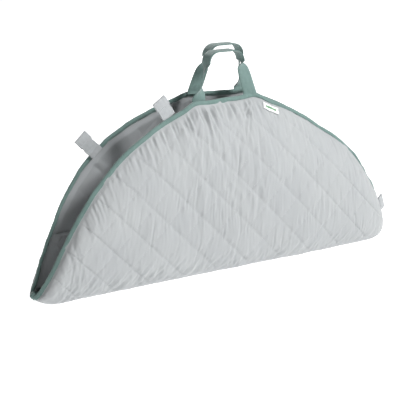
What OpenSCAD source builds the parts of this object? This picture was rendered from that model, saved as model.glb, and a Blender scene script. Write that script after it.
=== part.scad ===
// Round padded play mat, folded in half along its middle to be carried.
// X runs along the fold, -Y is the front, +Z is up. The origin is the middle
// of the flat base under the fold. All lengths are in millimetres.

/* [Mat] */
// Length of the fold, from corner to corner
fold_length = 840; // [780:10:900]
// Height of the front half's rim
front_rim_height = 360; // [340:1:370]
// Height of the back half's rim
back_rim_height = 366; // [340:1:370]
// Height of the two corners
corner_height = 22; // [22:1:24]
// How far each half bulges out from the fold's middle plane
bulge = 58; // [54:1:60]
// Thickness of the padded wall
wall = 18; // [16:1:19]
// Thickness of the padded wall beside the binding
edge_wall = 8; // [7:0.5:9]

/* [Fold] */
// Height of the folded strip under the two halves
fold_height = 20; // [18:1:20]
// Width of the folded strip's flat base
base_width = 44; // [36:2:50]
// Width of the folded strip at its top
fold_width = 74; // [70:1:75]

/* [Binding] */
// Width of the folded binding tape
binding_width = 11; // [9:0.5:12]
// Thickness of the bound edge
binding_thick = 7; // [6.5:0.5:7.5]
// Thickness of the binding tape
tape = 1.2; // [1:0.1:1.3]

/* [Handles] */
// Distance between the two ends of the front handle
front_handle_span = 120; // [110:2:130]
// Distance between the two ends of the back handle
back_handle_span = 106; // [100:2:120]
// Sideways offset of each handle from the middle
handle_shift = 5.5; // [0:0.5:8]
// Height of a handle's loop above the rim
handle_rise = 88; // [80:2:110]
// Width of the handle webbing
webbing_width = 30; // [25:1:32]
// Thickness of the handle webbing
webbing_thick = 2; // [1.5:0.25:2.5]

/* [Closing tabs] */
// Width of a tab
tab_width = 30; // [20:1:32]
// Length of a tab beyond the rim
tab_length = 40; // [30:1:50]
// Length of a tab's folded and stitched end
tab_hem = 20; // [12:1:24]

/* [Name label] */
// Length of the sewn label
label_length = 42; // [30:1:50]
// Height of the sewn label
label_height = 14; // [10:1:16]

/* [Hidden] */

FRONT = -1;
BACK = 1;
half_length = fold_length / 2;
fabric = 2;               // thickness of the outer quilted fabric
lining_fabric = 1.5;      // thickness of the lining
gap = 0.3;                // clearance between neighbouring layers
hinge_gap = 0.6;          // clearance between the fold and each half
edge_margin = 13;         // distance from the rim to the end of the padded wall
keel_run = 45;            // length over which the fold rises to a corner
cell_columns = 34;        // columns of facets along a padded half
section_columns = [0, 12, 22, cell_columns];   // columns where the sections of wadding meet
cell_rows = 9;            // rows of facets up a padded half
tab_angles = [70.5, 51.5, 169];   // places of the front, back and right tabs round the rim
tab_slants = [-14, -2, 0];    // how far each tab slants along the rim
tab_tilts = [0, 0, 25];       // how far each tab is bent out at rest
tab_root = 4.5;           // clearance between the rim and a tab, where it bends
label_x = 100;            // middle of the label along the fold

// --- Shape of a folded half -------------------------------------------------

function rim_height(side) = side == FRONT ? front_rim_height : back_rim_height;
function arch(x, length) = sqrt(max(0, 1 - pow(x / length, 2)));
function ease(t) = let (c = max(0, min(1, t))) c * c * (3 - 2 * c);
function arch_power(x) = x < 0
    ? 1.27 + pow(x / half_length, 6)
    : 1.56 - 0.26 * ease((x - 200) / 130);
// The rim is drawn up a little beside each end of a handle
function handle_pull(side, x) = 8 * (exp(-pow((x - handle_x(side, -1) + 14) / 28, 2))
    + exp(-pow((x - handle_x(side, 1) - 14) / 28, 2)));
function rim_x(angle) = -half_length * cos(angle);
function rim_angle(x) = acos(max(-1, min(1, -x / half_length)));
function rim_z(side, x) = corner_height + handle_pull(side, x)
    + (rim_height(side) - corner_height) * pow(arch(x, half_length), arch_power(x));
function panel_top(side, x) = corner_height + handle_pull(side, x)
    + (rim_height(side) - edge_margin - corner_height)
    * pow(arch(x, half_length - edge_margin), arch_power(x));

// Bottom of the fold, which curves up to the two corners
function keel_z(x) =
    let (u = max(0, (abs(x) - half_length + keel_run) / keel_run))
    corner_height * (1 - sqrt(1 - u * u));

// Half of the opening between the two rims: wide at the left, narrow at the right
function rim_gap(x) =
    let (a = rim_angle(x), s = arch(x, half_length))
    4.6 + 8 * s + 44 * pow(s, 0.8) * exp(-pow((a - 40) / 40, 2))
    + 14 * s * exp(-pow((a - 150) / 32, 2));

// Fullness from the keel (0) to the rim (1)
function swell(e) = e < 0.5
    ? pow(1 - pow(1 - 2 * e, 2.9), 1 / 2.9)
    : pow(1 - pow(2 * e - 1, 2.4), 0.9);
function bulge_at(x) = bulge * pow(1 - pow(abs(x) / half_length, 3.2), 1 / 3.2);
function rise(side, x, z) =
    max(0, min(1, (z - keel_z(x)) / (rim_z(side, x) - keel_z(x))));

// Distance of the outer fabric, and of the lining's inner face, from the middle plane
function outer_y(side, x, z) =
    let (e = rise(side, x, z), h = rim_z(side, x) - keel_z(x))
    rim_gap(x) * pow(e, 2.2) + min(bulge_at(x), 0.9 * h + 6) * swell(e);
function wall_at(side, x, z) = edge_wall + (wall - edge_wall) * (1 - pow(rise(side, x, z), 6));
function inner_y(side, x, z) = outer_y(side, x, z) - wall_at(side, x, z);

// --- Building blocks --------------------------------------------------------

// Closed curved slab between two distances from the middle plane. The columns
// xs run along X, and each column rises from low(x) to high(x).
module slab(side, xs, rows, low, high, far, near) {
    n = len(xs);
    m = rows + 1;
    heights = [for (x = xs) [for (j = [0 : rows]) low(x) + (high(x) - low(x)) * j / rows]];
    outer = [for (i = [0 : n - 1]) for (z = heights[i]) [xs[i], side * far(xs[i], z), z]];
    inner = [for (i = [0 : n - 1]) for (z = heights[i]) [xs[i], side * near(xs[i], z), z]];
    a = function(i, j) i * m + j;
    b = function(i, j) n * m + i * m + j;
    faces = [
        for (i = [0 : n - 2], j = [0 : m - 2]) each [
            [a(i, j), a(i, j + 1), a(i + 1, j + 1)], [a(i, j), a(i + 1, j + 1), a(i + 1, j)],
            [b(i, j), b(i + 1, j + 1), b(i, j + 1)], [b(i, j), b(i + 1, j), b(i + 1, j + 1)]],
        for (i = [0 : n - 2]) each [
            [a(i, 0), a(i + 1, 0), b(i + 1, 0)], [a(i, 0), b(i + 1, 0), b(i, 0)],
            [a(i + 1, m - 1), a(i, m - 1), b(i, m - 1)],
            [a(i + 1, m - 1), b(i, m - 1), b(i + 1, m - 1)]],
        for (j = [0 : m - 2]) each [
            [a(0, j + 1), a(0, j), b(0, j)], [a(0, j + 1), b(0, j), b(0, j + 1)],
            [a(n - 1, j), a(n - 1, j + 1), b(n - 1, j + 1)],
            [a(n - 1, j), b(n - 1, j + 1), b(n - 1, j)]]];
    polyhedron(concat(outer, inner), side == FRONT ? faces : [for (f = faces) [f[2], f[1], f[0]]]);
}

// One layer of a padded half, between two depths below the outer fabric
module layer(side, far, near, from = 0, to = cell_columns) {
    last = half_length - edge_margin - 4;
    xs = [for (i = [from : to]) -last * cos(180 * i / cell_columns)];
    slab(side, xs, cell_rows,
        function(x) fold_height + hinge_gap, function(x) panel_top(side, x), far, near);
}

// Closed tube through a list of rings that all have the same number of points
module tube(rings, flip = false) {
    n = len(rings[0]);
    last = len(rings) - 1;
    at = function(k, i) k * n + i % n;
    faces = concat([[for (i = [0 : n - 1]) at(0, n - 1 - i)], [for (i = [0 : n - 1]) at(last, i)]],
        [for (k = [0 : last - 1], i = [0 : n - 1]) each [
            [at(k, i), at(k, i + 1), at(k + 1, i + 1)], [at(k, i), at(k + 1, i + 1), at(k + 1, i)]]]);
    turned = [for (f = faces) [for (i = [len(f) - 1 : -1 : 0]) f[i]]];
    polyhedron([for (r = rings) each r], flip ? faces : turned);
}

function unit(v) = v / norm(v);
function rim_point(side, angle) =
    let (x = rim_x(angle)) [x, side * rim_gap(x), rim_z(side, x)];
function rim_tangent(side, angle) =
    unit(rim_point(side, angle + 0.5) - rim_point(side, angle - 0.5));

// Direction from the rim into the padded wall, square to the rim
function rim_inward(side, angle) =
    let (p = rim_point(side, angle), t = rim_tangent(side, angle),
        flat = unit([t.z, 0, -t.x]), x = p.x + flat.x * edge_margin, z = p.z + flat.z * edge_margin,
        y = outer_y(side, x, z) - edge_wall / 2, v = [x, side * y, z] - p)
    unit(v - (v * t) * t);

// The binding is drawn through evenly spaced places round the rim
rim_steps = 48;
function rim_place(k) = 6 + 168 * k / rim_steps;

// Outline [distance inward, offset across] set square to the rim at an angle
function rim_ring(side, angle, outline) =
    let (p = rim_point(side, angle), t = rim_tangent(side, angle),
        n = rim_inward(side, angle), b = cross(t, n))
    [for (q = outline) p + q[0] * n + q[1] * b];

// The same outline between two neighbouring places, where the binding runs straight
function straight_ring(side, angle, outline) =
    let (u = (angle - rim_place(0)) / (rim_place(1) - rim_place(0)), k = floor(u), f = u - k)
    (1 - f) * rim_ring(side, rim_place(k), outline) + f * rim_ring(side, rim_place(k + 1), outline);

// Strip that follows the whole rim
module rim_strip(side, outline)
    tube([for (k = [0 : rim_steps]) rim_ring(side, rim_place(k), outline)], true);

// Short piece of a strip that follows the rim
module rim_piece(side, from, to, outline) {
    inner = [for (k = [0 : rim_steps]) if (rim_place(k) > from && rim_place(k) < to) k];
    tube(concat([straight_ring(side, from, outline)],
        [for (k = inner) rim_ring(side, rim_place(k), outline)],
        [straight_ring(side, to, outline)]), true);
}

function box_outline(in0, in1, across0, across1) =
    [[in0, across0], [in0, across1], [in1, across1], [in1, across0]];

// --- The fold ---------------------------------------------------------------

fold_end = half_length - 28;

function fold_outline(inset) =
    let (top = fold_width / 2 - inset * 1.1, base = base_width / 2 - inset * 0.4,
        side = (fold_width + base_width) / 4 + 2.5 - inset)
    [[-top, fold_height], [-side, 6 + inset * 0.7], [-base, inset],
        [base, inset], [side, 6 + inset * 0.7], [top, fold_height]];

module along_fold() rotate([90, 0, 90]) translate([0, 0, -fold_end]) linear_extrude(2 * fold_end)
    children();

module fold_cover() color([0.80, 0.81, 0.82])
    along_fold() difference() {
        polygon(fold_outline(0));
        polygon([for (p = fold_outline(fabric)) p + [0, p.y > fold_height - 1 ? 1 : 0]]);
    }

module fold_padding() color([0.95, 0.95, 0.93])
    along_fold() intersection() {
        polygon(fold_outline(fabric + gap));
        translate([-fold_width / 2, 0])
            square([fold_width, fold_height - lining_fabric - gap]);
    }

module fold_lining() color([0.52, 0.55, 0.55])
    along_fold() intersection() {
        polygon(fold_outline(fabric + 3 * gap));
        translate([-fold_width / 2, fold_height - lining_fabric])
            square([fold_width, lining_fabric]);
    }

// The binding's turn round each end of the fold
module corner_bindings() color([0.51, 0.61, 0.59])
    for (end = [-1, 1])
        translate([end * (half_length - 14), 0, fold_height]) rotate([90, 0, 90])
            linear_extrude(2 * binding_thick, center = true) intersection() {
                circle(r = 10, $fn = 48);
                translate([-10, -10]) square([20, 10]);
            }

// --- The two halves ---------------------------------------------------------

module half_cover(side) layer(side,
    function(x, z) outer_y(side, x, z),
    function(x, z) outer_y(side, x, z) - fabric);

// One of the three sections of wadding that lie side by side in a half
module half_padding(side, section) color([0.95, 0.95, 0.93]) layer(side,
    function(x, z) outer_y(side, x, z) - fabric - gap,
    function(x, z) inner_y(side, x, z) + lining_fabric + gap,
    section_columns[section], section_columns[section + 1]);

module half_lining(side) layer(side,
    function(x, z) inner_y(side, x, z) + lining_fabric,
    function(x, z) inner_y(side, x, z));

// Tape folded over the edge, open towards the padded wall
module half_binding(side) {
    w = binding_width;
    h = binding_thick / 2;
    rim_strip(side, [[0, -h], [0, h], [w, h], [w, h - tape],
        [tape, h - tape], [tape, tape - h], [w, tape - h], [w, -h]]);
}

module half_elastic(side) rim_strip(side, box_outline(tape + gap, 9, -1, 1));

// Ends of webbing held inside the binding, on the lining side of the elastic
module webbing_ends(side, angles, width) {
    across = side == FRONT ? [1.2, 2.1] : [-2.1, -1.2];
    for (angle = angles)
        let (spread = width / 2 / norm(rim_point(side, angle + 0.5) - rim_point(side, angle - 0.5)))
            rim_piece(side, angle - spread, angle + spread,
                box_outline(tape + gap, 9, across[0], across[1]));
}

// --- Handles ----------------------------------------------------------------

function handle_span(side) = side == FRONT ? front_handle_span : back_handle_span;
function handle_x(side, end) = side * handle_shift + end * handle_span(side) / 2;
function handle_angles(side) = [for (end = [-1, 1]) rim_angle(handle_x(side, end))];
function handle_base_z(side) =
    max(rim_z(side, handle_x(side, -1)), rim_z(side, handle_x(side, 1))) + 2.6;
function handle_base_y(side) = side * rim_gap(0);
handle_top_y = 17;        // the two loops stand side by side at the top
// How far a leg leans in by the time it is held. The back loop is held further to the right.
function handle_lean(side, end) = side == FRONT ? 20 : end < 0 ? 25 : 3;
handle_bend = 22;         // radius of the two upper bends
leg_steps = 14;
bend_steps = 8;

// Middle line of the right half of a loop: [distance from the middle, height, slope, twist]
function handle_line(side, end) =
    let (reach = handle_span(side) / 2, leg = handle_rise - handle_bend,
        lean = handle_lean(side, end), corner = reach - lean)
    concat([for (k = [0 : leg_steps]) let (t = k / leg_steps)
            [reach - lean * t, leg * t, 0, 90 * pow(sin(90 * t), 2)]],
        [for (k = [1 : bend_steps]) let (a = 90 * k / bend_steps)
            [corner - handle_bend * (1 - cos(a)), leg + handle_bend * sin(a), a, 90]]);

function handle_ring(side, mirror_x, line) =
    let (t = line[1] / handle_rise,
        centre = [side * handle_shift + mirror_x * line[0],
            handle_base_y(side) * (1 - t) + side * handle_top_y * t,
            handle_base_z(side) + line[1]],
        flat = [mirror_x * cos(line[2]), 0, sin(line[2])],
        wide = cos(line[3]) * flat + [0, mirror_x * sin(line[3]), 0],
        thick = cos(line[3]) * [0, mirror_x, 0] - sin(line[3]) * flat,
        w = webbing_width / 2, h = webbing_thick / 2)
    [for (q = [[-w, -h], [w, -h], [w, h], [-w, h]]) centre + q[0] * wide + q[1] * thick];

module handle(side) {
    right = handle_line(side, 1);
    left = handle_line(side, -1);
    last = len(right) - 1;
    rings_up = [for (k = [0 : last]) handle_ring(side, 1, right[k])];
    rings_down = [for (k = [last : -1 : 0])
        let (r = handle_ring(side, -1, left[k])) [r[1], r[0], r[3], r[2]]];
    tube(concat(rings_up, rings_down), false);
}

// --- Closing tabs -----------------------------------------------------------

// Places children at a tab's root: X along the rim, Y towards the back, Z away from the mat
module at_tab(side, tab) {
    angle = tab_angles[tab];
    p = rim_point(side, angle);
    t = rim_tangent(side, angle);
    translate(p) rotate([0, -atan2(t.z, t.x), 0]) translate([0, 0, tab_root])
        rotate([-tab_tilts[tab], 0, 0]) rotate([0, tab_slants[tab], 0]) children();
}

// The hem is folded to the front face, and the hook piece is sewn on the back face
module tab_strap(side, tab) color([0.74, 0.76, 0.77])
    at_tab(side, tab) {
        translate([-tab_width / 2, -1, 0]) cube([tab_width, 2, tab_length]);
        translate([-tab_width / 2, -2.5, tab_length - tab_hem]) cube([tab_width, 1.5, tab_hem]);
    }

module tab_hook(side, tab) color([0.45, 0.48, 0.49])
    at_tab(side, tab)
        translate([2 - tab_width / 2, 1, tab_length - tab_hem + 1])
            cube([tab_width - 4, 1.2, tab_hem - 3]);

// --- Nodes ------------------------------------------------------------------

module front_cover() color([0.80, 0.81, 0.82]) half_cover(FRONT);
module front_padding_left() half_padding(FRONT, 0);
module front_padding_middle() half_padding(FRONT, 1);
module front_padding_right() half_padding(FRONT, 2);
module front_lining() color([0.52, 0.55, 0.55]) half_lining(FRONT);
module front_binding() color([0.51, 0.61, 0.59]) half_binding(FRONT);
module front_rim_elastic() color([0.93, 0.93, 0.91]) half_elastic(FRONT);
module front_handle_ends() color([0.45, 0.55, 0.53])
    webbing_ends(FRONT, handle_angles(FRONT), webbing_width);
module front_tab_end() color([0.74, 0.76, 0.77]) webbing_ends(FRONT, [tab_angles[0]], tab_width);

module name_label() color([0.96, 0.97, 0.96])
    slab(FRONT, [for (k = [0 : 8]) label_x + label_length * (k / 8 - 0.5)], 4,
        function(x) panel_top(FRONT, x) - 2 - label_height, function(x) panel_top(FRONT, x) - 2,
        function(x, z) outer_y(FRONT, x, z) + gap + 1,
        function(x, z) outer_y(FRONT, x, z) + gap);

module back_cover() color([0.80, 0.81, 0.82]) half_cover(BACK);
module back_padding_left() half_padding(BACK, 0);
module back_padding_middle() half_padding(BACK, 1);
module back_padding_right() half_padding(BACK, 2);
module back_lining() color([0.52, 0.55, 0.55]) half_lining(BACK);
module back_binding() color([0.51, 0.61, 0.59]) half_binding(BACK);
module back_rim_elastic() color([0.93, 0.93, 0.91]) half_elastic(BACK);
module back_handle_ends() color([0.45, 0.55, 0.53])
    webbing_ends(BACK, handle_angles(BACK), webbing_width);
module back_tab_end() color([0.74, 0.76, 0.77]) webbing_ends(BACK, [tab_angles[1]], tab_width);
module right_tab_end() color([0.74, 0.76, 0.77]) webbing_ends(BACK, [tab_angles[2]], tab_width);

module front_handle() color([0.45, 0.55, 0.53]) handle(FRONT);
module back_handle() color([0.45, 0.55, 0.53]) handle(BACK);
module front_tab_strap() tab_strap(FRONT, 0);
module front_tab_hook() tab_hook(FRONT, 0);
module back_tab_strap() tab_strap(BACK, 1);
module back_tab_hook() tab_hook(BACK, 1);
module right_tab_strap() tab_strap(BACK, 2);
module right_tab_hook() tab_hook(BACK, 2);

fold_cover();
fold_padding();
fold_lining();
corner_bindings();
front_cover();
front_padding_left();
front_padding_middle();
front_padding_right();
front_lining();
front_binding();
front_rim_elastic();
front_handle_ends();
front_tab_end();
name_label();
back_cover();
back_padding_left();
back_padding_middle();
back_padding_right();
back_lining();
back_binding();
back_rim_elastic();
back_handle_ends();
back_tab_end();
right_tab_end();
front_handle();
back_handle();
front_tab_strap();
front_tab_hook();
back_tab_strap();
back_tab_hook();
right_tab_strap();
right_tab_hook();
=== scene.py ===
import math

import bpy
import numpy as np
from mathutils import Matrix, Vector


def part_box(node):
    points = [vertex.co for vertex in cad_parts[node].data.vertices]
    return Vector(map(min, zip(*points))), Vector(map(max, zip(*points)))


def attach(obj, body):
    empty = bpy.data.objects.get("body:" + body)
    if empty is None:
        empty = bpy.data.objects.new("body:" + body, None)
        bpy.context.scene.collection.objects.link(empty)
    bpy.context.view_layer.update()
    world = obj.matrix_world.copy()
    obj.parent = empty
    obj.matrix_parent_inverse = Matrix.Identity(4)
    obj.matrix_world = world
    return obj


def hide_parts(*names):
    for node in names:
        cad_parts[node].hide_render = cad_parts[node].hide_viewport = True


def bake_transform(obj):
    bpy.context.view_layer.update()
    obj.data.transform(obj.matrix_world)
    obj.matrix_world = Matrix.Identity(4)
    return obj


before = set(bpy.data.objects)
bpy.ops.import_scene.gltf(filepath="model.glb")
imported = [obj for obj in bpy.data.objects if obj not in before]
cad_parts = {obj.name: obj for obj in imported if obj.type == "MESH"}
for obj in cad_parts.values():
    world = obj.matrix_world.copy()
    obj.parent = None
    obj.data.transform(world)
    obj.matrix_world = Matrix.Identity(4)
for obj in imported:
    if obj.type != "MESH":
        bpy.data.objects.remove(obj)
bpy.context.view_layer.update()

FRONT, BACK = -1, 1
SIDE_NAME = {FRONT: "front", BACK: "back"}

# ---------------------------------------------------------------- camera

TARGET = Vector((0.0, 0.0, 0.17))
CAMERA_PLACE = (-1.2590, -1.9520, 0.7746)
camera_data = bpy.data.cameras.new("camera")
camera = bpy.data.objects.new("camera", camera_data)
bpy.context.scene.collection.objects.link(camera)
camera.location = CAMERA_PLACE
camera.rotation_mode = "QUATERNION"
camera.rotation_quaternion = (TARGET - camera.location).to_track_quat("-Z", "Y")
camera_data.sensor_width = 36
camera_data.lens = 102.34
camera_data.shift_x = -0.0308
camera_data.shift_y = -0.0482
bpy.context.scene.camera = camera

# ---------------------------------------------------------------- shape of the mat, in metres

EDGE_IN = 0.013                      # how far inside the rim the CAD panels end
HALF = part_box("front_cover")[1].x + EDGE_IN + 0.004
CORNER_Z = 0.022                     # height of the two corners, where the rims meet
RIM_TOP = {FRONT: 0.360, BACK: 0.366}
HANDLE_SPAN = {FRONT: 0.120, BACK: 0.106}
HANDLE_SHIFT = {FRONT: -0.0055, BACK: 0.0055}
HANDLE_PULL = 0.008                  # how far the rim is drawn up beside a handle's end
BULGE = 0.058
WALL_AT_RIM, WALL_MORE = 0.008, 0.010   # the wall's thickness at the rim, and how much more lower down
KEEL = 0.045                         # length of the rounded rise at each end of the fold
RIM_END = math.radians(0.9)          # where the binding's runs end, round the rim
FLOOR_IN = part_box("fold_lining")[1].z   # height of the hollow's floor
BASE_UP = 0.0012                     # the fabric's rest height under the fold
LEAST_GAP = 0.0012                   # the lining stays this far from the middle plane


def arch(x):
    return np.sqrt(np.clip(1 - (x / HALF) ** 2, 0, 1))


def rim_z(side, x):
    """Height of the rim: a rounder arch on the right, drawn up a little beside each handle's ends."""
    u = np.clip((x - 0.2) / 0.13, 0, 1)
    power = np.where(x < 0, 1.27 + (x / HALF) ** 6, 1.56 - 0.26 * u * u * (3 - 2 * u))
    pull = sum(np.exp(-((x - HANDLE_SHIFT[side] - end * (HANDLE_SPAN[side] / 2 + 0.014)) / 0.028) ** 2)
               for end in (-1, 1))
    return CORNER_Z + (RIM_TOP[side] - CORNER_Z) * arch(x) ** power + HANDLE_PULL * pull


def handle_x(side, end):
    """Where a handle's end goes into the rim."""
    return HANDLE_SHIFT[side] + end * HANDLE_SPAN[side] / 2


def rim_angle(x):
    """The angle round the rim that has this x: 0 at the left corner, pi at the right."""
    return np.arccos(np.clip(-x / HALF, -1, 1))


def rim_gap(x):
    """Distance of the rim from the middle plane, widest at the open left end."""
    a = np.degrees(rim_angle(x))
    s = arch(x)
    return (4.6 + 8 * s + 44 * s ** 0.8 * np.exp(-((a - 40) / 40) ** 2)
            + 14 * s * np.exp(-((a - 150) / 32) ** 2)) / 1000


def keel_z(x):
    """Height of the fold's underside, which turns up at both ends."""
    u = np.clip((np.abs(x) - HALF + KEEL) / KEEL, 0, 1)
    return CORNER_Z * (1 - np.sqrt(1 - u * u))


def bulge_at(x):
    return BULGE * np.clip(1 - (np.abs(x) / HALF) ** 3.2, 0, 1) ** (1 / 3.2)


def swell(e):
    """How much of the bulge the panel has, e of the way up."""
    low = np.clip(1 - np.abs(1 - 2 * e) ** 2.9, 0, 1) ** (1 / 2.9)
    high = np.clip(1 - np.abs(2 * e - 1) ** 2.4, 0, 1) ** 0.9
    return np.where(e < 0.5, low, high)


def wall_height(side, x):
    return rim_z(side, x) - keel_z(x)


def way_up(side, x, z):
    """Height as a share of the wall's own: 0 under the fold, 1 at the rim."""
    return np.clip((z - keel_z(x)) / np.maximum(wall_height(side, x), 1e-6), 0, 1)


def wall_y(side, x, e):
    """Distance of the padded wall's outer face from the middle plane, e of the way up."""
    return (rim_gap(x) * e ** 2.2
            + np.minimum(bulge_at(x), 0.9 * wall_height(side, x) + 0.006) * swell(e))


def outer_y(side, x, z):
    """Distance of the padded wall's outer face from the middle plane, at height z."""
    return wall_y(side, x, way_up(side, x, z))


def inner_y(side, x, z):
    """Distance of the padded wall's inner face from the middle plane, at height z."""
    return outer_y(side, x, z) - WALL_AT_RIM - WALL_MORE * (1 - way_up(side, x, z) ** 6)


def rim_point(side, angle):
    x = -HALF * np.cos(angle)
    return np.stack([x, side * rim_gap(x), rim_z(side, x)], -1)


def unit(v):
    return v / np.maximum(np.linalg.norm(v, axis=-1, keepdims=True), 1e-12)


def rim_frame(side, angle):
    """Point, tangent, direction into the wall and direction across, along the rim."""
    p = rim_point(side, angle)
    t = unit(rim_point(side, angle + 0.004) - rim_point(side, angle - 0.004))
    flat = unit(np.stack([t[..., 2], 0 * t[..., 0], -t[..., 0]], -1))
    x = np.clip(p[..., 0] + flat[..., 0] * EDGE_IN, -HALF, HALF)
    z = p[..., 2] + flat[..., 2] * EDGE_IN
    y = outer_y(side, x, z) - 0.004
    v = np.stack([x, side * y, z], -1) - p
    v = unit(v - np.sum(v * t, -1, keepdims=True) * t)
    return p, t, v, np.cross(t, v)


# ---------------------------------------------------------------- small helpers

def lattice_noise(u, v, seed):
    """Smooth noise in -1..1 with features about one unit apart."""
    table = np.random.default_rng(seed).uniform(-1, 1, (97, 97))
    i, j = np.floor(u).astype(int), np.floor(v).astype(int)
    fu, fv = u - i, v - j
    fu, fv = fu * fu * (3 - 2 * fu), fv * fv * (3 - 2 * fv)
    at = lambda a, b: table[a % 97, b % 97]
    return ((at(i, j) * (1 - fu) + at(i + 1, j) * fu) * (1 - fv)
            + (at(i, j + 1) * (1 - fu) + at(i + 1, j + 1) * fu) * fv)


def smooth(a, b, x):
    t = np.clip((x - a) / (b - a), 0, 1)
    return t * t * (3 - 2 * t)


def new_mesh(name, verts, faces, material, uv=None, second=None, second_faces=None):
    mesh = bpy.data.meshes.new(name)
    mesh.from_pydata(np.asarray(verts).reshape(-1, 3).tolist(), [], faces)
    mesh.materials.append(material)
    if second is not None:
        mesh.materials.append(second)
        for f in second_faces:
            mesh.polygons[f].material_index = 1
    if uv is not None:
        layer = mesh.uv_layers.new(name="cloth")
        loops = np.zeros(len(mesh.loops), np.int32)
        mesh.loops.foreach_get("vertex_index", loops)
        layer.data.foreach_set("uv", np.asarray(uv, np.float32).reshape(-1, 2)[loops].ravel())
    mesh.polygons.foreach_set("use_smooth", [True] * len(mesh.polygons))
    mesh.validate()
    mesh.update()
    obj = bpy.data.objects.new(name, mesh)
    bpy.context.scene.collection.objects.link(obj)
    return obj


def grid_faces(rows, cols, flip=False, wrap=False):
    """Quads of a rows x cols grid of points, wrapped round the columns if asked."""
    faces = []
    last = cols if wrap else cols - 1
    for i in range(rows - 1):
        for j in range(last):
            k = (j + 1) % cols
            q = (i * cols + j, (i + 1) * cols + j, (i + 1) * cols + k, i * cols + k)
            faces.append(q[::-1] if flip else q)
    return faces


def tube_faces(rows, cols, flip=True, flip_caps=False):
    """Faces of a closed tube of rings, with both ends capped."""
    caps = [tuple(range(cols)), tuple(range((rows - 1) * cols, rows * cols))[::-1]]
    if flip_caps:
        caps = [c[::-1] for c in caps]
    return grid_faces(rows, cols, flip=flip, wrap=True) + caps


def plate_faces(rows, cols):
    """Faces of a thin plate: a grid, the same grid below it, and the edge between them."""
    size = rows * cols
    faces = grid_faces(rows, cols)
    faces += [tuple(i + size for i in f[::-1]) for f in faces]
    edge = ([i * cols for i in range(rows)] + [(rows - 1) * cols + j for j in range(1, cols)]
            + [i * cols + cols - 1 for i in range(rows - 2, -1, -1)] + list(range(cols - 2, 0, -1)))
    for here, after in zip(edge, edge[1:] + edge[:1]):
        faces.append((here, here + size, after + size, after))
    return faces


def soften(p, passes, axes):
    """Evens out a grid of points in place along the axes, with its edges held."""
    for _ in range(passes):
        for axis in axes:
            q = np.swapaxes(p, 0, axis)
            q[1:-1] = 0.25 * q[:-2] + 0.5 * q[1:-1] + 0.25 * q[2:]


def run_length(points):
    """Distance along a line of points, from its first one."""
    return np.concatenate([[0], np.cumsum(np.linalg.norm(np.diff(points, axis=0), axis=1))])


def grid_normals(p):
    du = np.gradient(p, axis=0)
    dv = np.gradient(p, axis=1)
    return unit(du), unit(dv), unit(np.cross(du, dv))


def sample(grid, u, v):
    """Bilinear lookup of a grid (rows x cols x k) at fractional positions."""
    n, m = grid.shape[:2]
    u, v = np.clip(u, 0, n - 1.001), np.clip(v, 0, m - 1.001)
    i, j = u.astype(int), v.astype(int)
    fu, fv = (u - i)[..., None], (v - j)[..., None]
    return ((grid[i, j] * (1 - fu) + grid[i + 1, j] * fu) * (1 - fv)
            + (grid[i, j + 1] * (1 - fu) + grid[i + 1, j + 1] * fu) * fv)


# ---------------------------------------------------------------- materials

def linear(rgb):
    out = []
    for c in rgb:
        c = c / 255
        out.append(c / 12.92 if c <= 0.04045 else ((c + 0.055) / 1.055) ** 2.4)
    return (*out, 1)


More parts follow.
